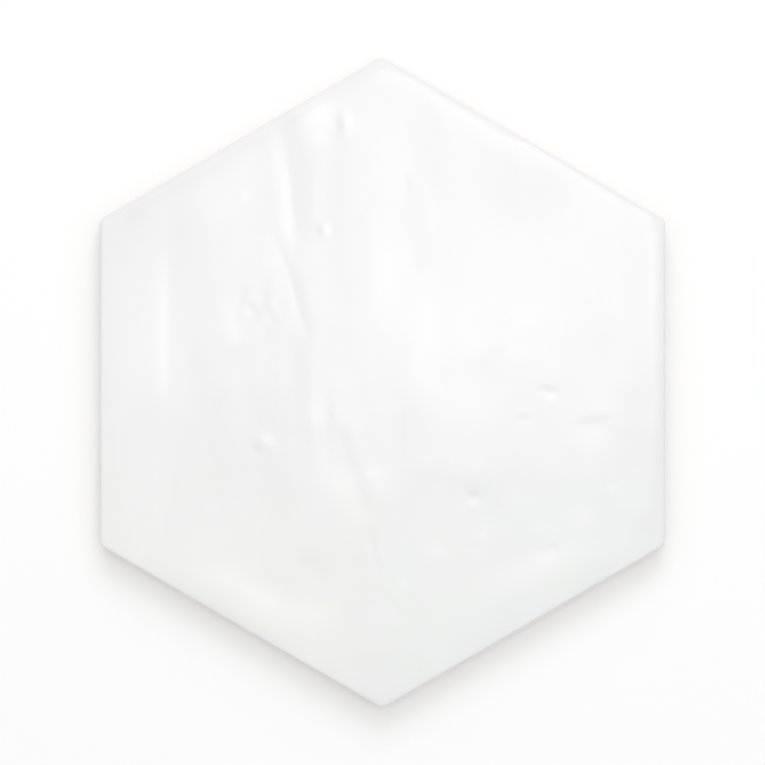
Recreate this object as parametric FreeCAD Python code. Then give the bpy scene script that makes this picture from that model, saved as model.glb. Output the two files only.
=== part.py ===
import FreeCAD, Part
import math
import os

from FreeCAD import Vector

# Hexagon floor tile: one pressed, glazed and fired piece of porcelain, in millimetres.
# The origin is the centre of the back. +Z goes up through the glazed face, +X points at
# the middle of a side and +Y at a corner.

# Outline
across_flats = 175.0   # from one side to the opposite one
corner_radius = 2.5    # on the six upright corners
thickness = 9.0        # from the back to the flat of the face

# Edge of the face: a shallow cushion that ends in a small round
cushion_width = 8.0    # from the side in to the flat of the face
cushion_drop = 0.5     # how far the cushion falls by the time it reaches the side
arris_radius = 0.6     # the round between the cushion and the side

# Edge of the back: the bevel that lets the tile leave its mould
bevel_width = 1.0
bevel_height = 1.6

# Honeycomb in the back, which the adhesive keys into
rim_width = 8.0        # plain band between the sides and the outer cells
rib_width = 2.4        # between two cells, at the back
cell_depth = 0.8
cell_draft = 20.0      # degrees by which a cell's walls lean out to its mouth
cell_rings = 7         # rings of cells round the middle one

side_count = 6
side_step = 360 / side_count   # degrees from one side to the next
half_step = side_step / 2      # degrees from a side's middle to a corner
half_flats = across_flats / 2


def polar(distance, degrees, height=0.0):
    """Point at a distance and a bearing from the upright axis of the tile."""
    angle = math.radians(degrees)
    return Vector(distance * math.cos(angle), distance * math.sin(angle), height)


def section_arc(centre, radius, start, end):
    """Arc in the XZ plane, between two angles in degrees above +X."""
    points = []
    for degrees in (start, (start + end) / 2, end):
        angle = math.radians(degrees)
        points.append(centre + Vector(math.cos(angle), 0, math.sin(angle)) * radius)
    return Part.Arc(*points).toShape()


def edge_section():
    """Face in the XZ plane: the tile's section at the +X side, run on past the far side."""
    cushion_radius = (cushion_width**2 + cushion_drop**2) / (2 * cushion_drop)
    cushion_centre = Vector(half_flats - cushion_width, 0, thickness - cushion_radius)

    # the small round touches the cushion from inside and stands on the upright side
    across = cushion_width - arris_radius
    up = math.sqrt((cushion_radius - arris_radius) ** 2 - across**2)
    arris_centre = cushion_centre + Vector(across, 0, up)
    handover = math.degrees(math.atan2(up, across))

    cushion = section_arc(cushion_centre, cushion_radius, handover, 90)
    arris = section_arc(arris_centre, arris_radius, 0, handover)
    rest = Part.makePolygon([
        Vector(half_flats - cushion_width, 0, thickness),
        Vector(-across_flats, 0, thickness),
        Vector(-across_flats, 0, 0),
        Vector(half_flats - bevel_width, 0, 0),
        Vector(half_flats, 0, bevel_height),
        Vector(half_flats, 0, arris_centre.z),
    ])
    return Part.Face(Part.Wire([arris, cushion] + rest.Edges))


def turned(shape, degrees):
    """Copy of a shape, turned about the upright axis of the tile."""
    copy = shape.copy()
    copy.rotate(Vector(0, 0, 0), Vector(0, 0, 1), degrees)
    return copy


def around(shape):
    """The shape at each of the tile's sides or corners."""
    return [turned(shape, side * side_step) for side in range(side_count)]


def sharp_blank(section):
    """The tile with sharp upright corners: what is inside the section on all six sides."""
    slab = section.extrude(Vector(0, 2 * across_flats, 0))
    slab.translate(Vector(0, -across_flats, 0))
    slabs = around(slab)
    blank = slabs[0]
    for other in slabs[1:]:
        blank = blank.common(other)
    return blank


def corner_waste(centre):
    """Upright prism over one sharp corner, out from the centre of its round."""
    outline = Part.makePolygon([
        centre,
        Vector(half_flats, centre.y, 0),
        polar(half_flats / math.cos(math.radians(half_step)), half_step),
        centre + polar(corner_radius, side_step),
        centre,
    ])
    prism = Part.Face(outline).extrude(Vector(0, 0, 3 * thickness))
    prism.translate(Vector(0, 0, -thickness))
    return prism


def corner_post(section, centre):
    """One rounded corner: the last stretch of the section, turned about the round's centre."""
    window = Part.makePlane(
        corner_radius, thickness, Vector(half_flats - corner_radius, 0, 0),
        Vector(0, -1, 0), Vector(1, 0, 0))
    stretch = section.common(window).Faces[0]
    stretch.translate(Vector(0, centre.y, 0))
    return stretch.revolve(centre, Vector(0, 0, 1), side_step)


def rounded_blank():
    """The tile with all its edges, before the cells are sunk in its back."""
    section = edge_section()
    inner_flats = half_flats - corner_radius
    centre = Vector(inner_flats, inner_flats * math.tan(math.radians(half_step)), 0)
    blank = sharp_blank(section).cut(around(corner_waste(centre)))
    return blank.fuse(around(corner_post(section, centre))).removeSplitter()


def hexagon(half_width, height):
    """Corners of a hexagon with two sides along X, with the first one again at the end."""
    corner = half_width / math.cos(math.radians(half_step))
    return [polar(corner, side_step * number, height) for number in range(side_count + 1)]


def cell(mouth, floor):
    """One cell as a solid, from half its width at its mouth and at its floor."""
    low = hexagon(mouth, 0)
    high = hexagon(floor, cell_depth)
    faces = [Part.Face(Part.makePolygon(ring)) for ring in (low, high)]
    for number in range(side_count):
        wall = [low[number], low[number + 1], high[number + 1], high[number], low[number]]
        faces.append(Part.Face(Part.makePolygon(wall)))
    return Part.makeSolid(Part.makeShell(faces))


def honeycomb():
    """The cells: rings round a middle one that run parallel to the tile's sides."""
    # an outer cell reaches toward a side by its row's distance and then by its own corner
    row_share = math.cos(math.radians(half_step))
    corner_share = 0.5 / row_share
    room = half_flats - rim_width + rib_width * corner_share
    pitch = room / (cell_rings * row_share + corner_share)
    mouth = (pitch - rib_width) / 2
    floor = mouth - cell_depth * math.tan(math.radians(cell_draft))
    pattern = cell(mouth, floor)

    across = polar(pitch, half_step)
    along = polar(pitch, half_step + side_step)
    cells = []
    for a in range(-cell_rings, cell_rings + 1):
        for b in range(-cell_rings, cell_rings + 1):
            if abs(a + b) <= cell_rings:
                cells.append(pattern.translated(across * a + along * b))
    return cells


tile = rounded_blank().cut(honeycomb())

os.makedirs("parts", exist_ok=True)
tile.exportStep("parts/tile.step")

box = tile.optimalBoundingBox()
print("solids", len(tile.Solids), "valid", tile.isValid(), "faces", len(tile.Faces))
print("size", round(box.XLength, 3), round(box.YLength, 3), round(box.ZLength, 3))
print("volume", round(tile.Volume / 1000, 2), "cubic centimetres")
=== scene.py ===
import math

import bmesh
import bpy
import numpy as np
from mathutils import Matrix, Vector, noise


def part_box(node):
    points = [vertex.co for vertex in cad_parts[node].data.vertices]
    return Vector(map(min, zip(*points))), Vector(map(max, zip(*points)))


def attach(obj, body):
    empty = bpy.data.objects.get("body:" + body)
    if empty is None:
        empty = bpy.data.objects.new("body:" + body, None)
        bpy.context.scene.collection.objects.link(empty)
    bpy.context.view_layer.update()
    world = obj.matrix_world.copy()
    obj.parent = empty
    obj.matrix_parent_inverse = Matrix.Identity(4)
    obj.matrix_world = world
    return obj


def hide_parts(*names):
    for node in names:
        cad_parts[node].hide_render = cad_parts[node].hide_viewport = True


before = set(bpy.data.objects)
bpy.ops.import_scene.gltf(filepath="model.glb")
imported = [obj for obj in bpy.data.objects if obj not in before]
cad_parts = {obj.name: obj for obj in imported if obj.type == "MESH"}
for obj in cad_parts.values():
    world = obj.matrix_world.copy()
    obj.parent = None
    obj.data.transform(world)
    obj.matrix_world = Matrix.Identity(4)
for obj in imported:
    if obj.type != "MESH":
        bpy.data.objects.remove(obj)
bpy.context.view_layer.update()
print("frame loaded")

mm = 0.001
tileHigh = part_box("tile")[1]
halfFlats = tileHigh.x          # middle of the tile to the middle of a side
faceHeight = tileHigh.z         # floor to the top of the face
sideCount = 6
sideTurns = [math.radians(360 / sideCount * side) for side in range(sideCount)]
halfSide = math.radians(180 / sideCount)     # turn from the middle of a side to a corner
mitreOrder = 4                  # the higher it is, the sharper the mitres between the sides
nearZero = 1e-9                 # least radius, in metres, that a bend is worked out for
toneLayer = "toneAndPaintedLight"         # where the mesh keeps the painted lightness: the glaze's own tone with painted highlights and painted shade


# Shapes that the marks, the face and the edge share

def outlineRing(apothem, radius, perSide):
    # rounded hexagon, anticlockwise from the corner at -30 degrees, evenly spaced along each side
    straight = (apothem - radius) * math.tan(halfSide)
    halfLength = straight + radius * halfSide
    along = np.linspace(-halfLength, halfLength, perSide, endpoint=False)
    bend = np.clip(np.abs(along) - straight, 0, None) / max(radius, nearZero)
    x = apothem - radius + radius * np.cos(bend)
    y = np.sign(along) * (np.minimum(np.abs(along), straight) + radius * np.sin(bend))
    sides = [np.c_[x * math.cos(turn) - y * math.sin(turn), x * math.sin(turn) + y * math.cos(turn)]
             for turn in sideTurns]
    return np.concatenate(sides)


def insetOf(x, y, softness):
    # distance in from the nearest side, with the mitres between the sides softened
    reach = np.zeros_like(x)
    for turn in sideTurns:
        inset = halfFlats - (x * math.cos(turn) + y * math.sin(turn))
        reach += np.clip(softness - inset, 0, None) ** mitreOrder
    return softness - reach ** (1 / mitreOrder)


def wave(x, y, seed):
    # smooth unevenness between -1 and 1 that is the same on every run
    return np.array([noise.noise(Vector((px, py, seed))) for px, py in zip(x, y)])


def softHump(across, along=0):
    # 1 in the middle, and nearly nothing at twice the half width
    return np.exp(-across ** 2 - along ** 2)


def turnedInto(x, y, markX, markY, turn):
    # distances across and along a mark that is turned by some degrees
    angle = math.radians(turn)
    x = x - markX
    y = y - markY
    across = x * math.cos(angle) + y * math.sin(angle)
    along = y * math.cos(angle) - x * math.sin(angle)
    return across, along


# Face: a glaze that was poured and dragged by hand, so it is never quite flat
# Marks are in millimetres from the middle of the tile, with y toward the top corner

glazeMarks = {
    # x, y, width, length above and below, turn in degrees, rise: beads, or dimples where it is negative
    "beads": [
        (-11.8, 80.2, 3.8, 3.6, 3.6, 8, 0.12),
        (-18.3, 47.0, 3.0, 1.9, 1.9, 0, 0.14),
        (-42.5, 57.8, 2.4, 2.0, 2.0, 0, 0.03),
        (-37.0, -18.8, 4.2, 2.8, 2.8, 40, 0.12),
        (51.8, -2.8, 4.8, 1.3, 1.6, -8, -0.09),
        (43.4, -11.4, 4.6, 1.2, 2.2, 4, -0.05),
        (65.0, -12.9, 8.4, 1.8, 6.0, 6, -0.115),
        (28.3, -35.4, 3.8, 1.5, 2.0, 0, -0.08),
        (71.2, -32.0, 3.0, 1.2, 1.6, 0, -0.04),
        (6.5, -61.4, 3.6, 1.4, 1.8, 0, -0.05),
        (17.0, -51.2, 4.4, 1.6, 2.2, 0, -0.06),
        (52.0, -51.6, 5.6, 1.4, 3.8, 6, -0.035),
        (62.5, -39.2, 7.6, 1.8, 4.2, 0, -0.08),
        (-21.0, -47.3, 5.4, 2.6, 2.6, 0, -0.06),
        (8.0, 61.2, 2.2, 3.6, 3.6, 0, -0.06),
        (-4.9, 51.2, 4.4, 1.5, 1.5, 35, 0.06),
        (43.5, 17.0, 5.0, 6.0, 5.0, -20, 0.08),
        (-58.6, 66.0, 3.0, 2.0, 2.0, 0, 0.04),
    ],
    # path, width of its left and right slopes, bluntness, rise: creases, or ridges where it is positive
    "creases": [
        ([(-32.2, 85), (-30.6, 75), (-29.0, 65), (-28.0, 56), (-27.4, 49), (-26.6, 40)],
         4.4, 7.0, 0.8, -0.17),
        ([(-34.4, 48), (-31.8, 41), (-29.0, 34), (-26.9, 27), (-24.8, 20), (-22.2, 13)],
         4.6, 3.0, 0.6, -0.11),
        ([(-23.6, 15), (-22.8, 6), (-22.4, -4), (-21.8, -14), (-20.6, -25), (-19.4, -37)],
         4.6, 4.6, 0.8, 0.09),
        ([(-13.6, -13), (-12.2, -17), (-10.8, -23), (-8.7, -29), (-6.6, -36), (-4.6, -43),
          (-2.4, -51), (-0.9, -57), (2.2, -65), (8.4, -74)],
         6.5, 2.8, 0.8, -0.13),
    ],
    "creaseShape": {
        "pathSteps": 6,         # from one point of a path to the next
        "strength": 0.75,       # share of the rise, on the average
        "unevenness": 0.5,      # how much of the rise comes and goes along the path
        "unevenSize": 8.0,
        "endFade": 0.6,         # the lower it is, the longer a crease keeps its depth
        "flank": 1.6,           # the higher it is, the hollower the slopes
    },
    # x and y of both ends, width, rise: soft straight strokes
    "strokes": [
        (-80.0, 44, -79.0, -14, 20.0, 0.14),
        (-65.9, 40, -65.9, -6, 5.2, -0.09),
        (-53.0, 76, -47.0, 4, 22.0, 0.20),
        (-50.0, 26, -47.0, 9, 6.0, 0.07),
        (-60.0, 58, -58.0, -12, 8.0, -0.05),
        (-7.0, 90, -5.0, 28, 18.0, 0.13),
        (11.8, 48, 11.4, 33, 7.0, -0.05),
        (10.0, 90, 19.0, 70, 6.0, -0.07),
        (-64.0, -55.5, -45.0, -65.5, 12.0, 0.19),
        (-49.0, -65.5, -17.0, -80.0, 13.0, 0.29),
        (-16.0, 4, -10.0, -26, 7.0, 0.04),
        (-4.5, -27, 0.5, -41, 8.0, 0.09),
        (40.0, -60.5, 68.0, -53.5, 10.0, 0.12),
        (10.0, -26, 34.0, -28.5, 8.0, 0.06),
        (-70.0, -18, -68.0, -52, 6.0, 0.09),
        (38.0, 30, 30.0, 4, 9.0, 0.06),
        (30.0, 78, 62.0, 60, 10.0, 0.07),
    ],
    # shares of a stroke's length: full height this far from its middle, and the fade at each end
    "strokeShape": {"full": 0.3, "fade": 0.16},
    # x, y, radius, rise: broad swells and hollows
    "swells": [
        (-26.5, 82.5, 7.5, 0.24),
        (33.0, 76.5, 8.0, 0.07),
        (66.0, 54.0, 12.0, 0.08),
        (16.0, 20.7, 22.0, 0.10),
        (44.0, 58.0, 15.0, -0.13),
        (24.0, -33.0, 20.0, -0.10),
        (-36.0, -4.0, 16.0, -0.10),
        (-12.0, -70.0, 16.0, -0.08),
        (-52.0, -74.0, 22.0, 0.25),
        (70.0, 20.0, 16.0, -0.06),
        (0.0, -88.0, 12.0, -0.08),
    ],
    # x, y, radius, rise, size of its grain: rough patches
    "roughPatches": [(-37.0, 24.0, 9.0, 0.075, 4.2)],
    # size, rise, seed: unevenness all over
    "unevenness": [(34.0, 0.12, 3.1), (14.0, 0.050, 7.7), (5.5, 0.008, 12.4)],
    # the sweep of the tool that dragged the glaze: streaks in arcs round a far centre
    "drag": {"centre": (320.0, 60.0), "across": 6.5, "along": 60.0, "rise": 0.038, "seed": 21.5},
}


def beadHeight(x, y, bead):
    beadX, beadY, width, above, below, turn, rise = bead
    across, along = turnedInto(x, y, beadX, beadY, turn)
    along = np.where(along > 0, along / above, along / below)
    return rise * softHump(across / (width / 2), along)


def smoothPath(points, steps):
    # smooth curve through all points of a given path
    ends = np.array([points[0]] + points + [points[-1]], float)
    found = []
    for a, b, c, d in zip(ends, ends[1:], ends[2:], ends[3:]):
        for t in np.linspace(0, 1, steps, endpoint=False):
            bend = t * (2 * a - 5 * b + 4 * c - d + t * (3 * (b - c) + d - a))
            found.append(b + 0.5 * t * (c - a + bend))
    found.append(ends[-1])
    return np.array(found)


def creaseHeight(x, y, crease):
    shape = glazeMarks["creaseShape"]
    points, leftWidth, rightWidth, blunt, rise = crease
    path = smoothPath(points, shape["pathSteps"])
    lengths = np.r_[0, np.cumsum(np.linalg.norm(np.diff(path, axis=0), axis=1))]
    nearest = np.full(x.shape, np.inf)
    side = np.zeros_like(x)
    place = np.zeros_like(x)
    for start, end, before in zip(path, path[1:], lengths):
        run = end - start
        length = np.linalg.norm(run)
        t = np.clip(((x - start[0]) * run[0] + (y - start[1]) * run[1]) / length ** 2, 0, 1)
        dx = x - start[0] - t * run[0]
        dy = y - start[1] - t * run[1]
        away = np.hypot(dx, dy)
        closer = away < nearest
        nearest = np.where(closer, away, nearest)
        side = np.where(closer, run[0] * dy - run[1] * dx, side)
        place = np.where(closer, before + t * length, place)
    width = np.where(side > 0, rightWidth, leftWidth)     # paths run down, so their left is the tile's right
    uneven = wave(place / shape["unevenSize"], np.zeros_like(place), points[0][1])
    strength = shape["strength"] + shape["unevenness"] * uneven
    fade = np.sin(np.pi * np.clip(place / lengths[-1], 0, 1)) ** shape["endFade"]
    reach = np.clip(1 - (np.hypot(nearest, blunt) - blunt) / width, 0, None)
    return rise * strength * fade * reach ** shape["flank"]


def strokeHeight(x, y, stroke):
    shape = glazeMarks["strokeShape"]
    startX, startY, endX, endY, width, rise = stroke
    run = np.array([endX - startX, endY - startY])
    t = ((x - startX) * run[0] + (y - startY) * run[1]) / (run @ run)
    away = np.hypot(x - startX - t * run[0], y - startY - t * run[1])
    past = np.clip(np.abs(t - 0.5) - shape["full"], 0, None)
    return rise * softHump(away / (width / 2), past / shape["fade"])


def dragHeight(x, y):
    drag = glazeMarks["drag"]
    centreX, centreY = drag["centre"]
    dx = x - centreX
    dy = y - centreY
    radius = np.hypot(dx, dy)
    along = np.arctan2(dy, -dx) * -centreX      # about the arc's length
    return drag["rise"] * wave(radius / drag["across"], along / drag["along"], drag["seed"])


def reliefHeight(x, y):
    # height of the glaze over its mean level, in metres, at points in metres
    x = x / mm
    y = y / mm
    height = dragHeight(x, y)
    for bead in glazeMarks["beads"]:
        height += beadHeight(x, y, bead)
    for crease in glazeMarks["creases"]:
        height += creaseHeight(x, y, crease)
    for stroke in glazeMarks["strokes"]:
        height += strokeHeight(x, y, stroke)
    for swellX, swellY, radius, rise in glazeMarks["swells"]:
        height += rise * softHump((x - swellX) / radius, (y - swellY) / radius)
    for patchX, patchY, radius, rise, grain in glazeMarks["roughPatches"]:
        away = ((x - patchX) ** 2 + (y - patchY) ** 2) / radius ** 2
        height += rise * softHump(away) * wave(x / grain, y / grain, patchX)
    for size, rise, seed in glazeMarks["unevenness"]:
        height += rise * wave(x / size, y / size, seed)
    return height * mm


# Lightness painted on the glaze: a random mottle of its own tone, broad lighter and darker patches, painted
# highlights and painted shade beside the beads, dimples and creases, and painted shade along some sides and
# round the face's edge
# Tones are in levels over or under the mean, on a scale of 255, and places in millimetres as above

toneAndPaintedLightMarks = {
    # width, length, levels, seed: mottling all over
    "mottle": [(9.0, 39.6, 1.2, 33.3), (16.0, 16.0, 0.8, 5.5)],
    "arris": {
        "darker": 8.0,          # a darker line round the face's edge: the glaze running thin there, and painted shade
        "reach": 0.8,
        "softness": 2.0,        # of the mitres
    },
    # x, y, width, length, turn in degrees, levels lighter, or darker where it is negative
    "patches": [
        # top corner and upper left side
        (0, 91, 14, 14, 0, -2.0),
        (-19.5, 83.5, 10, 10, 0, 3.4),
        (-20, 75.5, 5, 6, 20, 2.0),
        (-28.8, 82, 4.4, 5, 0, -2.6),
        # painted shade and painted highlight on the left and right flanks of the bead near the top corner
        (-13.2, 80.4, 1.8, 6, 8, -4.0),
        (-10.2, 80.2, 2.4, 7, 8, 2.5),
        (-33, 72, 4, 16, 12, 1.0),
        (-66.7, 59.6, 6, 34, 120, -3.0),
        (-76, 52, 10, 10, 0, -2.0),
        # upper right
        (16, 72, 80, 36, 0, -1.8),
        (14, 74, 9, 34, 18, -2.8),
        (4, 73, 9, 15, 0, 1.0),
        (3, 58, 6, 20, 0, 1.0),
        # painted shade in the dimple and in the trough below it
        (8, 61, 2.4, 8, 0, -3.0),
        (10, 52, 8, 20, 0, -2.5),
        (11.5, 40, 6, 16, 0, -3.0),
        (35, 78, 9, 22, 58, 2.8),
        (41, 69, 12, 8, 20, -1.5),
        (46, 58, 30, 20, 20, -4.0),
        (55, 50, 16, 10, 0, -1.3),
        (66, 54, 14, 18, 20, 1.0),
        (70, 34, 24, 40, 0, -1.5),
        (80, 28, 8, 44, 0, -1.8),
        # round the upper creases
        # light and dark lines beside the creases and the beads: painted highlights and painted shade
        (-30.4, 63, 3, 14, 5, 1.5),
        (-26.6, 60.5, 2.8, 17, 0, -2.0),
        (-29.4, 51, 3.2, 17, 3, 2.0),
        (-26.2, 26, 2.0, 12, 16, -3.0),
        (-19.3, 47.0, 1.8, 2.8, 0, -4.0),
        (-17.1, 47.0, 1.8, 3.0, 0, 4.0),
        (-42.5, 57.8, 1.8, 3.8, 0, 3.0),
        (-40, 44, 9, 44, 0, -1.6),
        (-37, 25, 12, 17, 0, -2.5),
        (-46, 16, 6, 13, 12, 2.5),
        (-35, 7, 18, 12, 0, 2.6),
        (-24, 10, 24, 22, 0, -1.6),
        # left
        (-56, 55, 18, 16, 0, 2.4),
        (-60, 30, 9, 34, 0, 2.4),
        (-51, 36, 11, 52, 0, 3.0),
        (-51, 14, 9, 18, 0, 1.6),
        (-50, -5, 8, 14, 0, -1.6),
        (-68.4, 20, 4.2, 40, 0, 2.0),
        (-70, 14, 24, 46, 0, 3.2),
        (-80, 14, 11, 50, 0, 1.6),
        (-60, 10, 5, 80, 3, -1.5),
        (-70, -36, 4, 26, 0, 1.5),
        # middle
        (0, 30, 9, 22, 0, 2.0),
        (-11, 39, 9, 24, 0, 2.0),
        (9, 24, 30, 30, 0, 2.0),
        (22, 14, 30, 24, 0, 2.0),
        (13, 6, 12, 22, 0, 1.6),
        (0, -6, 12, 9, 0, 1.0),
        (24, -8, 32, 18, 0, 2.8),
        (6.5, -14, 1.4, 20, 0, -2.8),
        # round the lower creases
        # light and dark lines beside the creases: painted highlights and painted shade
        (-26, -1, 6.5, 22, 0, -2.5),
        (-31.5, -4, 2.4, 14, 0, 2.2),
        (-28.5, -15, 7, 5, 0, -1.5),
        (-19.2, -4, 4.4, 22, 0, 2.5),
        (-18.6, -26, 4, 20, 0, 2.0),
        (-15.6, -10, 1.8, 5, 12, -2.5),
        (-11, -19, 3.4, 12, 12, -2.5),
        (-12, -31, 6, 24, 22, 2.5),
        (-14.5, -33, 5, 16, 14, 1.6),
        (-2, -32, 7, 6, -10, 2.5),
        (-3, -41, 14, 8, 0, 1.4),
        (-1.8, -53, 1.8, 14, 15, -3.0),
        (4, -68, 1.8, 15, 38, -2.0),
        # right
        (44, 17, 6, 15, -20, 2.0),
        (70, 15, 12, 20, 0, -2.0),
        # painted shade and painted highlights in and below the dimples
        (50.8, -1.5, 5.0, 1.6, -8, -2.5),
        (52.6, -4.3, 3.0, 2.2, 0, 4.0),
        (45, -2, 8, 10, 0, -1.5),
        (43.3, -10.8, 4.4, 1.8, 6, -2.2),
        (65.5, -17, 8, 6.5, 0, -0.6),
        # darker toward the right side: painted shade
        (74, -10, 12, 18, 0, -1.5),
        (79, -9, 16, 40, 0, -4.6),
        (85.5, -28, 6, 34, 0, -3.5),
        (82, -44, 12, 12, 0, -3.0),
        # lower right and bottom corner
        # painted shade and painted highlights in and below the dimples
        (28.1, -34.1, 3.2, 1.9, 0, -8.0),
        (28.5, -37.0, 2.8, 2.2, 0, 2.5),
        (28, -34, 14, 50, 90, -1.8),
        (34, -37, 18, 14, 0, -2.0),
        (71.1, -32.4, 2.6, 2.2, 0, 4.0),
        (62.5, -41.2, 7, 7, 0, 2.8),
        (61, -39, 8, 8, 0, 1.0),
        (31, -47, 2.4, 2.4, 0, 2.5),
        (28, -50, 4, 3, 0, -2.0),
        (17, -51.6, 4.2, 4.2, 0, 2.6),
        (6.5, -61.8, 3.2, 3.2, 0, 2.0),
        (51, -45, 11, 5, 0, 1.2),
        (52.4, -50.5, 4.4, 1.8, 0, -4.0),
        (50.2, -54.8, 10, 6, 15, 2.5),
        (42, -60, 20, 9, 18, 3.8),
        # darker along the lower right side and at the bottom corner: painted shade
        (66, -59, 8, 22, -60, -2.5),
        (34, -76, 10, 34, -60, -2.0),
        (0, -92, 24, 30, 90, -3.5),
        # lower left
        # painted shade and painted highlight round the bead, and painted highlights along the strokes
        (-40, -17, 28, 32, 0, -3.0),
        (-35.4, -17.4, 3.2, 5.4, 52, 3.0),
        (-38.6, -20.1, 3.0, 2.2, -30, -5.5),
        (-31, -33, 14, 18, 0, -2.8),
        (-22.4, -54.6, 6.0, 4.2, 0, -3.0),
        (-18.0, -58.2, 4.6, 3.4, 0, -2.0),
        (-18, -55, 14, 12, 0, -1.2),
        (-51, -60.5, 15, 7, -12, 3.0),
        (-56, -48, 18, 16, 0, 1.6),
        (-37, -68.6, 13, 8, -32, 4.0),
        (-24, -72, 20, 8, 0, 2.2),
    ],
}


def toneAndPaintedLight(x, y):
    # painted lightness over the mean, in levels, at points in metres: the glaze's own tone with painted
    # highlights and painted shade
    arris = toneAndPaintedLightMarks["arris"]
    # darker line round the face's edge: thin glaze and painted shade
    inset = np.clip(insetOf(x, y, arris["softness"] * mm), 0, None)
    tone = -arris["darker"] * softHump(inset / (arris["reach"] * mm))
    x = x / mm
    y = y / mm
    for width, length, levels, seed in toneAndPaintedLightMarks["mottle"]:
        tone += levels * wave(x / width, y / length, seed)
    for patchX, patchY, width, length, turn, levels in toneAndPaintedLightMarks["patches"]:
        across, along = turnedInto(x, y, patchX, patchY, turn)
        tone += levels * softHump(across / (width / 2), along / (length / 2))
    return tone


# Mesh of the tile: one closed skin of the face, the edge and the back

glazeSlot = 0
bodySlot = 1


class MeshRows:
    # collects points and faces, row by row, for one closed mesh
    def __init__(self):
        self.points = []
        self.faces = []
        self.slots = []
        self.count = 0

    def add(self, flat, level):
        # points from their places in plan and their height; returns their numbers
        self.points.append(np.c_[flat, np.full(len(flat), level)])
        self.count += len(flat)
        return list(range(self.count - len(flat), self.count))

    def face(self, corners, slot):
        self.faces.append(corners)
        self.slots.append(slot)


def neighbours(ring):
    # each point of a closed ring with the next one
    return zip(ring, ring[1:] + ring[:1])


# Edge: the cushion round the face, the arris, the glaze's lap on the side, and the bevel

tileEdge = {
    "pointsPerSide": 150,
    "cornerRadius": 2.5 * mm,
    "faceInset": 1.0 * mm,      # where the face's mesh hands over to the edge's
    "cornerEasing": 3,          # the higher it is, the later the face's rings get round corners
    "cushionWidth": 8.0 * mm,
    "cushionDrop": 0.5 * mm,
    "cushionCurve": 3,          # the higher it is, the later the cushion bends down
    "mitreSoftness": 9.0 * mm,
    "calmWidth": 3.0 * mm,      # the relief dies down within this distance of the sides
    "calmShare": 0.25,          # what is left of it at the sides
    "arrisRadius": 0.6 * mm,
    "arrisSteps": 6,
    "arrisLead": 0.8 * mm,      # inset of the last ring before the arris
    "lapHeight": 5.7 * mm,      # mean height of the glaze's lower line over the floor
    "lapWaves": [(26 * mm, 0.55 * mm, 4.2), (7 * mm, 0.28 * mm, 9.1)],     # size, rise, seed
    "glazeThickness": 0.16 * mm,
    # share of the glaze's thickness inward, and height over its lower line: the rounded lip of the glaze
    "lapRows": [(0, 0.7 * mm), (0, 0.25 * mm), (0.35, 0.07 * mm), (0.8, 0), (1, 0.01 * mm)],
    "bodyRows": (0.62, 0),      # shares of the way up from the bevel to the glaze's line
    "bevelWidth": 1.0 * mm,
    "bevelHeight": 1.6 * mm,
    # shares of the bevel's width inward and of its height down, eased where it meets the back
    "bevelRows": [(0.3, 0.25), (0.62, 0.62), (0.93, 0.93), (1.06, 1.0)],
}


def faceLevel(x, y):
    # height of the glazed face over its mean level, in metres
    edge = tileEdge
    inset = insetOf(x, y, edge["mitreSoftness"])
    fall = np.clip(1 - inset / edge["cushionWidth"], 0, None) ** edge["cushionCurve"]
    calm = np.clip(inset / edge["calmWidth"], edge["calmShare"], 1)
    return reliefHeight(x, y) * calm - edge["cushionDrop"] * fall


def ringStart(ring):
    # how many points of the face lie inside this ring
    return 1 + sideCount * ring * (ring - 1) // 2 if ring else 0


def buildFace(mesh):
    # triangles in rings round the middle; returns the outermost ring
    edge = tileEdge
    rings = edge["pointsPerSide"]
    outer = halfFlats - edge["faceInset"]
    corner = edge["cornerRadius"] - edge["faceInset"]
    flat = [np.zeros((1, 2))]
    for ring in range(1, rings + 1):
        share = ring / rings
        flat.append(outlineRing(outer * share, corner * share ** edge["cornerEasing"], ring))
    flat = np.concatenate(flat)
    points = mesh.add(flat, faceLevel(*flat.T))
    for ring in range(1, rings + 1):
        outside = points[ringStart(ring):ringStart(ring + 1)]
        inside = points[ringStart(ring - 1):ringStart(ring)]
        for side in range(sideCount):
            for step in range(ring):
                outward = side * ring + step
                inward = outward - side
                a = outside[outward]
                b = outside[(outward + 1) % len(outside)]
                c = inside[inward % len(inside)]
                mesh.face((a, b, c), glazeSlot)
                if step < ring - 1:
                    d = inside[(inward + 1) % len(inside)]
                    mesh.face((c, b, d), glazeSlot)
    return outside


def ringAt(inset):
    # the tile's outline, drawn in by some distance
    edge = tileEdge
    return outlineRing(halfFlats - inset, edge["cornerRadius"] - inset, edge["pointsPerSide"])


def arrisRows():
    # plan, height over the face's mean level and material of each ring round the arris
    edge = tileEdge
    insets = [edge["arrisLead"]]
    drops = [0]
    for step in range(edge["arrisSteps"] + 1):
        angle = math.radians(90) * (1 - step / edge["arrisSteps"])
        insets.append(edge["arrisRadius"] * (1 - math.cos(angle)))
        drops.append(edge["arrisRadius"] * (1 - math.sin(angle)))
    rings = [ringAt(inset) for inset in insets]
    return [(ring, faceLevel(*ring.T) - drop, glazeSlot) for ring, drop in zip(rings, drops)]


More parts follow.
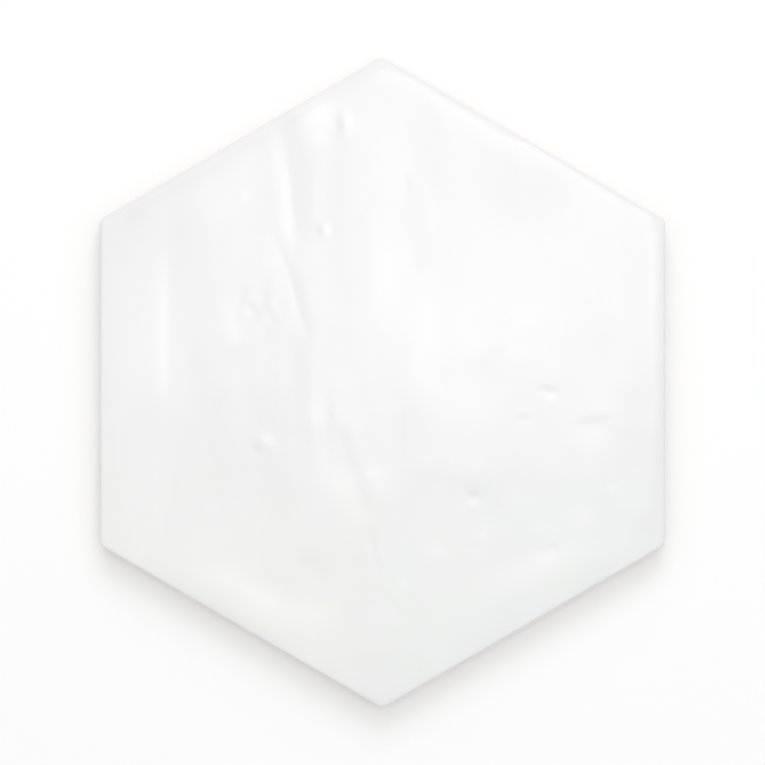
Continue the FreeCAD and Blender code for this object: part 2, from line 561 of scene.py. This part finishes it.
def sideRows():
    # plan, height and material of each ring from the glaze's lip down to the back
    edge = tileEdge
    lightTone = edge["glazeThickness"]
    foot = edge["bevelHeight"]
    wall = ringAt(0)
    lap = np.full(len(wall), edge["lapHeight"])
    for size, rise, seed in edge["lapWaves"]:
        lap += rise * wave(*(wall.T / size), seed)
    rows = [(ringAt(share * lightTone), lap + above, glazeSlot) for share, above in edge["lapRows"]]
    for share in edge["bodyRows"]:
        rows.append((ringAt(lightTone), foot + share * (lap - foot), bodySlot))
    for share, down in edge["bevelRows"]:
        rows.append((ringAt(share * edge["bevelWidth"]), foot * (1 - down), bodySlot))
    return rows


def addRows(mesh, upper, rows):
    # strips of faces, each from the ring above to the next; returns the last ring
    for flat, level, slot in rows:
        lower = mesh.add(flat, level)
        for (a, b), (c, d) in zip(neighbours(upper), neighbours(lower)):
            mesh.face((a, c, d, b), slot)
        upper = lower
    return upper


# Back: a honeycomb of shallow cells, with softly rounded lips

tileBack = {
    "rimWidth": 8.0 * mm,
    "ribWidth": 2.4 * mm,
    "cellDepth": 0.8 * mm,
    "cellDraft": 20.0,          # degrees
    "cellRings": 7,
    "cornerCut": 0.09,          # share of a cell's side that its rounded corner takes
    "lip": 0.13 * mm,           # rounding at a cell's mouth
    "mouthProfile": [(1.0, 0.0), (-0.3, 0.6)],      # in lips: out from the mouth, and up
    "floorProfile": [(0.2, 1.2), (-1.6, 0.0)],      # in lips: out from the cell's floor, and down from it
    "weld": 0.01 * mm,          # points nearer than this are one
}


def cellCentres():
    # the outer cells end in line with the rim on all sides; returns their pitch and their places
    back = tileBack
    rings = back["cellRings"]
    rowShare = math.cos(halfSide)
    cornerShare = 0.5 / rowShare
    room = halfFlats - back["rimWidth"] + back["ribWidth"] * cornerShare
    pitch = room / (rings * rowShare + cornerShare)
    rightUp = pitch * np.array([rowShare, math.sin(halfSide)])
    up = pitch * np.array([0.0, 1.0])
    steps = range(-rings, rings + 1)
    return pitch, [a * rightUp + b * up for a in steps for b in steps if abs(a + b) <= rings]


def hexCorners(apothem):
    corner = apothem / math.cos(halfSide)
    return [corner * np.array([math.cos(turn), math.sin(turn)]) for turn in sideTurns]


def roundedCell(apothem, cut):
    # two points for each corner of the hexagon, cut back along both of its sides
    corners = hexCorners(apothem)
    found = []
    for number, corner in enumerate(corners):
        before = corners[number - 1]
        after = corners[(number + 1) % sideCount]
        found.append(corner + (before - corner) * cut)
        found.append(corner + (after - corner) * cut)
    return np.array(found)


def buildCell(mesh, centre, outline, profile):
    # lip, wall and floor of one cell, inside the outline that it shares with its neighbours
    rows = [mesh.add(roundedCell(apothem, tileBack["cornerCut"]) + centre, height)
            for apothem, height in profile]
    top = rows[0]
    for number in range(sideCount):
        after = (number + 1) % sideCount
        mesh.face((outline[number], top[2 * number + 1], top[2 * number]), bodySlot)
        mesh.face((outline[number], outline[after], top[2 * after], top[2 * number + 1]), bodySlot)
    for upper, lower in zip(rows, rows[1:]):
        for (a, b), (c, d) in zip(neighbours(upper), neighbours(lower)):
            mesh.face((a, b, d, c), bodySlot)
    middle = mesh.add([centre], tileBack["cellDepth"])[0]
    for a, b in neighbours(rows[-1]):
        mesh.face((a, b, middle), bodySlot)


def buildBack(mesh, outerRing):
    # all cells; returns the edges round the flat rim, which is still open
    back = tileBack
    lip = back["lip"]
    depth = back["cellDepth"]
    pitch, centres = cellCentres()
    mouth = (pitch - back["ribWidth"]) / 2
    floor = mouth - depth * math.tan(math.radians(back["cellDraft"]))
    profile = [(mouth + out * lip, up * lip) for out, up in back["mouthProfile"]]
    profile += [(floor + out * lip, depth - down * lip) for out, down in back["floorProfile"]]
    shared = {}
    borders = {}

    def sharedPoint(place):
        key = tuple(np.round(place / back["weld"]))
        if key not in shared:
            shared[key] = mesh.add([place], 0)[0]
        return shared[key]

    for centre in centres:
        outline = [sharedPoint(centre + corner) for corner in hexCorners(pitch / 2)]
        for a, b in neighbours(outline):
            if (b, a) in borders:
                del borders[(b, a)]
            else:
                borders[(a, b)] = True
        buildCell(mesh, centre, outline, profile)
    return list(neighbours(outerRing)) + list(borders)


def fillRim(work, edges):
    # flat band between the outer cells and the bevel
    work.verts.ensure_lookup_table()
    found = [work.edges.get((work.verts[a], work.verts[b])) for a, b in edges]
    filled = bmesh.ops.triangle_fill(work, use_beauty=True, use_dissolve=False, edges=found,
                                     normal=(0, 0, -1))
    for item in filled["geom"]:
        if isinstance(item, bmesh.types.BMFace):
            item.material_index = bodySlot
            item.smooth = True


def addObject(name, data):
    found = bpy.data.objects.new(name, data)
    bpy.context.scene.collection.objects.link(found)
    return found


def buildTile():
    mesh = MeshRows()
    faceRing = buildFace(mesh)
    arrisRing = addRows(mesh, faceRing, arrisRows())
    faceCount = mesh.count                  # points of the face and its arris
    backRing = addRows(mesh, arrisRing, sideRows())
    openEdges = buildBack(mesh, backRing)
    points = np.concatenate(mesh.points)
    points[:faceCount, 2] += faceHeight - points[:faceCount, 2].max()     # the relief's top is the tile's

    data = bpy.data.meshes.new("hexTile")
    data.from_pydata(points.tolist(), [], mesh.faces)
    data.polygons.foreach_set("material_index", mesh.slots)
    data.polygons.foreach_set("use_smooth", [True] * len(data.polygons))

    levels = np.zeros(len(points))
    levels[:faceCount] = toneAndPaintedLight(*points[:faceCount, :2].T)
    tone = data.attributes.new(toneLayer, "FLOAT", "POINT")
    tone.data.foreach_set("value", levels)

    work = bmesh.new()
    work.from_mesh(data)
    fillRim(work, openEdges)
    bmesh.ops.recalc_face_normals(work, faces=work.faces)
    work.to_mesh(data)
    work.free()
    return addObject("hexTile", data)


hexTile = buildTile()
hexTile.data.calc_loop_triangles()
print("tile built,", len(hexTile.data.loop_triangles), "triangles")


# Material helpers; an owner is a material, a world or a lamp, whatever has the nodes

def setInput(owner, node, name, value):
    socket = node.inputs[name]
    if isinstance(value, bpy.types.NodeSocket):
        owner.node_tree.links.new(value, socket)
    else:
        socket.default_value = value


def addNode(owner, kind, **inputs):
    node = owner.node_tree.nodes.new(kind)
    for name, value in inputs.items():
        setInput(owner, node, name, value)
    return node


def newMaterial(name):
    material = bpy.data.materials.new(name)
    material.use_nodes = True
    material.node_tree.nodes.clear()
    shader = addNode(material, "ShaderNodeBsdfPrincipled")
    addNode(material, "ShaderNodeOutputMaterial", Surface=shader.outputs["BSDF"])
    return material, shader


def newMattMaterial(name):
    material, shader = newMaterial(name)
    setInput(material, shader, "Roughness", 1.0)
    setInput(material, shader, "Specular IOR Level", 0.0)
    return material, shader


def placeNodes(material):
    # place on the piece, whole and split into X, Y and Z
    place = addNode(material, "ShaderNodeTexCoord").outputs["Object"]
    return place, addNode(material, "ShaderNodeSeparateXYZ", Vector=place).outputs


def noiseNode(material, place, size, detail, roughness=0.5):
    # noise whose blobs are about size metres wide
    node = addNode(material, "ShaderNodeTexNoise", Vector=place, Scale=1 / size, Detail=detail,
                   Roughness=roughness)
    return node.outputs["Fac"]


def rangeNode(owner, value, low, high, toLow=0.0, toHigh=1.0, smooth=False):
    node = addNode(owner, "ShaderNodeMapRange")
    if smooth:
        node.interpolation_type = "SMOOTHSTEP"
    for name, given in (("Value", value), ("From Min", low), ("From Max", high),
                        ("To Min", toLow), ("To Max", toHigh)):
        setInput(owner, node, name, given)
    return node.outputs["Result"]


def addMaths(owner, operation, *values):
    node = addNode(owner, "ShaderNodeMath")
    node.operation = operation
    for number, value in enumerate(values):
        setInput(owner, node, number, value)
    return node.outputs[0]


def mixColours(material, factor, first, second):
    node = addNode(material, "ShaderNodeMix")
    node.data_type = "RGBA"
    for number, value in ((0, factor), (6, first), (7, second)):      # its sockets for colours
        setInput(material, node, number, value)
    return node.outputs[2]


def mixShaders(owner, factor, first, second):
    node = addNode(owner, "ShaderNodeMixShader")
    for number, value in enumerate((factor, first, second)):
        setInput(owner, node, number, value)
    return node.outputs["Shader"]


def addBump(material, shader, height, depth):
    bump = addNode(material, "ShaderNodeBump", Height=height, Strength=1.0, Distance=depth)
    setInput(material, shader, "Normal", bump.outputs["Normal"])


def srgb(red, green, blue):
    # colour written as on a paint chart, 0 to 255, for the linear sockets of the nodes
    linear = []
    for value in (red, green, blue):
        share = value / 255
        linear.append(share / 12.92 if share <= 0.04045 else ((share + 0.055) / 1.055) ** 2.4)
    return (*linear, 1.0)


# Materials of the tile
# Noises are given as size, detail and roughness, and ranges as from low, from high, to low, to high

whiteGlaze = {
    "colour": srgb(238.3, 238.0, 238.3),
    "darkTone": srgb(230, 230, 230),            # eight levels under and over the colour
    "lightTone": srgb(246.3, 246.3, 246.3),
    "toneReach": 8.0,
    "warmTint": srgb(238.8, 238.9, 235.0),
    "coolTint": srgb(236.5, 239.3, 237.9),
    "tintRange": (-15 * mm, -68 * mm),      # y where the tints start and where they are full
    "blotches": (13 * mm, 1.0),             # that break up the tints
    "blotchRange": (0.38, 0.6, 0.25, 1.0),
    "tintPatches": (30 * mm, 2.0),          # of cool among warm
    "patchRange": (0.3, 0.7),
    "coolLean": (-70 * mm, 70 * mm, -0.2, 0.2),     # cooler to the right
    "haze": (18 * mm, 3.0),
    "hazeRange": (0.35, 0.65),
    "roughness": (0.07, 0.14),
    "ior": 1.52,
    "peel": (2.4 * mm, 1.0),
    "peelDepth": 0.002 * mm,
}


def makeWhiteGlaze():
    look = whiteGlaze
    material, shader = newMaterial("whiteGlaze")
    place, parts = placeNodes(material)

    # soft tints in the lower part of the face
    blotches = noiseNode(material, place, *look["blotches"])
    blotches = rangeNode(material, blotches, *look["blotchRange"])
    lower = rangeNode(material, parts["Y"], *look["tintRange"])
    tinted = addMaths(material, "MULTIPLY", lower, blotches)
    patches = noiseNode(material, place, *look["tintPatches"])
    lean = rangeNode(material, parts["X"], *look["coolLean"])
    cool = rangeNode(material, addMaths(material, "ADD", lean, patches), *look["patchRange"])
    tint = mixColours(material, cool, look["warmTint"], look["coolTint"])
    colour = mixColours(material, tinted, look["colour"], tint)

    # painted lightness from the mesh, the glaze's tone with painted highlights and painted shade: toward a
    # darker colour under the mean and a lighter one over it
    tone = addNode(material, "ShaderNodeAttribute")
    tone.attribute_name = toneLayer
    for reach, shade in ((-look["toneReach"], look["darkTone"]), (look["toneReach"], look["lightTone"])):
        share = rangeNode(material, tone.outputs["Fac"], 0.0, reach)
        colour = mixColours(material, share, colour, shade)
    setInput(material, shader, "Base Color", colour)

    haze = noiseNode(material, place, *look["haze"])
    roughness = rangeNode(material, haze, *look["hazeRange"], *look["roughness"])
    setInput(material, shader, "Roughness", roughness)
    setInput(material, shader, "IOR", look["ior"])
    addBump(material, shader, noiseNode(material, place, *look["peel"]), look["peelDepth"])
    return material


firedBody = {
    "colour": srgb(225, 221, 213),
    "darkGrain": srgb(200, 194, 184),
    "grain": (0.9 * mm, 4.0, 0.65),
    "grainRange": (0.52, 0.72, 0.0, 0.75),
    "kilnWash": srgb(236, 235, 231),
    "washHeight": 0.12 * mm,
    "washPatches": (9 * mm, 4.0),
    "washRange": (0.35, 0.6, 0.25, 1.0),
    "roughness": 0.85,
    "pores": (0.6 * mm, 4.0, 0.7),
    "poreDepth": 0.06 * mm,
}


def makeFiredBody():
    look = firedBody
    material, shader = newMaterial("firedBody")
    place, parts = placeNodes(material)
    dark = rangeNode(material, noiseNode(material, place, *look["grain"]), *look["grainRange"])
    colour = mixColours(material, dark, look["colour"], look["darkGrain"])

    # white wash from the kiln's shelf, in patches on what touched it
    touched = rangeNode(material, parts["Z"], look["washHeight"], 0.0)
    patches = rangeNode(material, noiseNode(material, place, *look["washPatches"]), *look["washRange"])
    wash = addMaths(material, "MULTIPLY", touched, patches)
    colour = mixColours(material, wash, colour, look["kilnWash"])
    setInput(material, shader, "Base Color", colour)
    setInput(material, shader, "Roughness", look["roughness"])
    addBump(material, shader, noiseNode(material, place, *look["pores"]), look["poreDepth"])
    return material


hexTile.data.materials.append(makeWhiteGlaze())
hexTile.data.materials.append(makeFiredBody())
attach(hexTile, "root")
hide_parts("tile")
print("materials made")


# Stage: a pale floor in a white room, a key light, a glowing panel overhead and grey cards all round

def addPlane(name, corners, material):
    data = bpy.data.meshes.new(name)
    data.from_pydata(corners, [], [range(len(corners))])
    data.materials.append(material)
    return addObject(name, data)


def seenAsBackground(owner):
    # 1 where the camera, a mirror or a glass looks at it, and 0 where it gives light
    path = addNode(owner, "ShaderNodeLightPath").outputs
    seen = addMaths(owner, "MAXIMUM", path["Is Camera Ray"], path["Is Glossy Ray"])
    return addMaths(owner, "MAXIMUM", seen, path["Is Transmission Ray"])


paleFloor = {
    "size": 8.0,
    "drop": 0.02 * mm,           # below the tile's back, so that the two never fight for a pixel
    "colour": srgb(252, 252, 252),
    "fade": (0.18, 0.70),        # from the middle, where it starts and ends melting into the room
}


def addFloor():
    look = paleFloor
    material, shader = newMattMaterial("paleFloor")
    setInput(material, shader, "Base Color", look["colour"])
    away = addNode(material, "ShaderNodeVectorMath")
    away.operation = "LENGTH"
    setInput(material, away, 0, addNode(material, "ShaderNodeTexCoord").outputs["Object"])
    fade = rangeNode(material, away.outputs["Value"], *look["fade"], smooth=True)
    share = addMaths(material, "MULTIPLY", seenAsBackground(material), fade)
    white = addNode(material, "ShaderNodeEmission", Strength=1.0).outputs["Emission"]
    surface = mixShaders(material, share, shader.outputs["BSDF"], white)
    setInput(material, material.node_tree.get_output_node("ALL"), "Surface", surface)

    half = look["size"] / 2
    corners = [(-half, -half, 0), (half, -half, 0), (half, half, 0), (-half, half, 0)]
    floor = addPlane("floor", corners, material)
    floor.location.z = -look["drop"]


whiteRoom = {
    "level": 0.84,               # share of white that the room gives the floor
    "colour": (1, 1, 1, 1),
}


def addWorld():
    look = whiteRoom
    world = bpy.data.worlds.new("whiteRoom")
    world.use_nodes = True
    world.node_tree.nodes.clear()
    light, seen = [addNode(world, "ShaderNodeBackground", Color=look["colour"], Strength=strength)
                   for strength in (look["level"], 1.0)]
    surface = mixShaders(world, seenAsBackground(world), light.outputs[0], seen.outputs[0])
    addNode(world, "ShaderNodeOutputWorld", Surface=surface)
    bpy.context.scene.world = world


def addAreaLamp(name, look, power):
    lamp = bpy.data.lights.new(name, "AREA")
    lamp.shape = "RECTANGLE"
    lamp.size, lamp.size_y = look["size"]
    lamp.energy = power
    holder = addObject(name, lamp)
    holder.location = look["from"]
    return holder


keyLight = {
    "from": (0.10, 1.42, 1.00),
    "size": (1.3, 1.3),
    "level": 0.21,               # share of white that it gives the floor
}


def addKeyLight():
    away = Vector(keyLight["from"])
    slant = away.z / away.length
    power = keyLight["level"] * math.pi ** 2 * away.length_squared / slant      # watts
    holder = addAreaLamp("keyLight", keyLight, power)
    holder.rotation_euler = (-away).to_track_quat("-Z", "Y").to_euler()
    holder.visible_glossy = False      # its mirror image would bleach the face in a view from the front


glowPanel = {
    "from": (0.16, 0.215, 1.30),
    "size": (0.65, 0.60),
    "feather": (0.21, 0.105),    # width of its soft edges
    "strength": 1.95,            # times white
}


def addGlow():
    # what the glaze mirrors when it is seen from above
    look = glowPanel
    width, depth = look["size"]
    power = look["strength"] * math.pi * width * depth      # watts
    lamp = addAreaLamp("glow", look, power).data
    lamp.use_nodes = True
    place = addNode(lamp, "ShaderNodeNewGeometry").outputs["Parametric"]
    parts = addNode(lamp, "ShaderNodeSeparateXYZ", Vector=place).outputs
    fades = []
    for part, size, feather in zip(parts, look["size"], look["feather"]):
        away = addMaths(lamp, "ABSOLUTE", addMaths(lamp, "SUBTRACT", part, 0.5))     # 0.5 at the edge
        fades.append(rangeNode(lamp, away, 0.5, 0.5 - feather / size, smooth=True))
    setInput(lamp, lamp.node_tree.nodes["Emission"], "Strength", addMaths(lamp, "MULTIPLY", *fades))


greyCards = {
    "turns": range(0, 360, 45),
    # distance, width, foot, top, and the greys at the foot and at the top
    "rows": [
        (1.5, 0.8, 0.24, 0.43, 140, 205),
        (1.5, 0.8, 0.53, 0.76, 140, 205),
        (30.0, 25.0, 1.75, 4.6, 190, 225),     # low on the horizon, for a view almost level with the face
    ],
}


def makeGreyCard(low, high, dark, pale):
    # dark at its foot and pale at its top
    material, shader = newMattMaterial("greyCard")
    parts = placeNodes(material)[1]
    upper = rangeNode(material, parts["Z"], low, high)
    colour = mixColours(material, upper, srgb(dark, dark, dark), srgb(pale, pale, pale))
    setInput(material, shader, "Base Color", colour)
    return material


def addCards():
    # edges for the glaze to mirror when it is seen from the side
    for away, width, low, high, dark, pale in greyCards["rows"]:
        half = width / 2
        corners = [(away, -half, low), (away, half, low), (away, half, high), (away, -half, high)]
        material = makeGreyCard(low, high, dark, pale)
        for turn in greyCards["turns"]:
            card = addPlane("card", corners, material)
            card.rotation_euler.z = math.radians(turn)


overheadCamera = {
    "height": 1.15,
    "framed": 0.2367,            # width that the picture takes in at the height of the face
}


def addCamera():
    look = overheadCamera
    camera = bpy.data.cameras.new("camera")
    camera.lens = camera.sensor_width * (look["height"] - faceHeight) / look["framed"]
    eye = addObject("camera", camera)
    eye.location = (0, 0, look["height"])       # looks straight down, with the top corner up
    bpy.context.scene.camera = eye


addFloor()
addWorld()
addKeyLight()
addGlow()
addCards()
addCamera()
bpy.context.scene.view_settings.view_transform = "Standard"
print("studio ready")
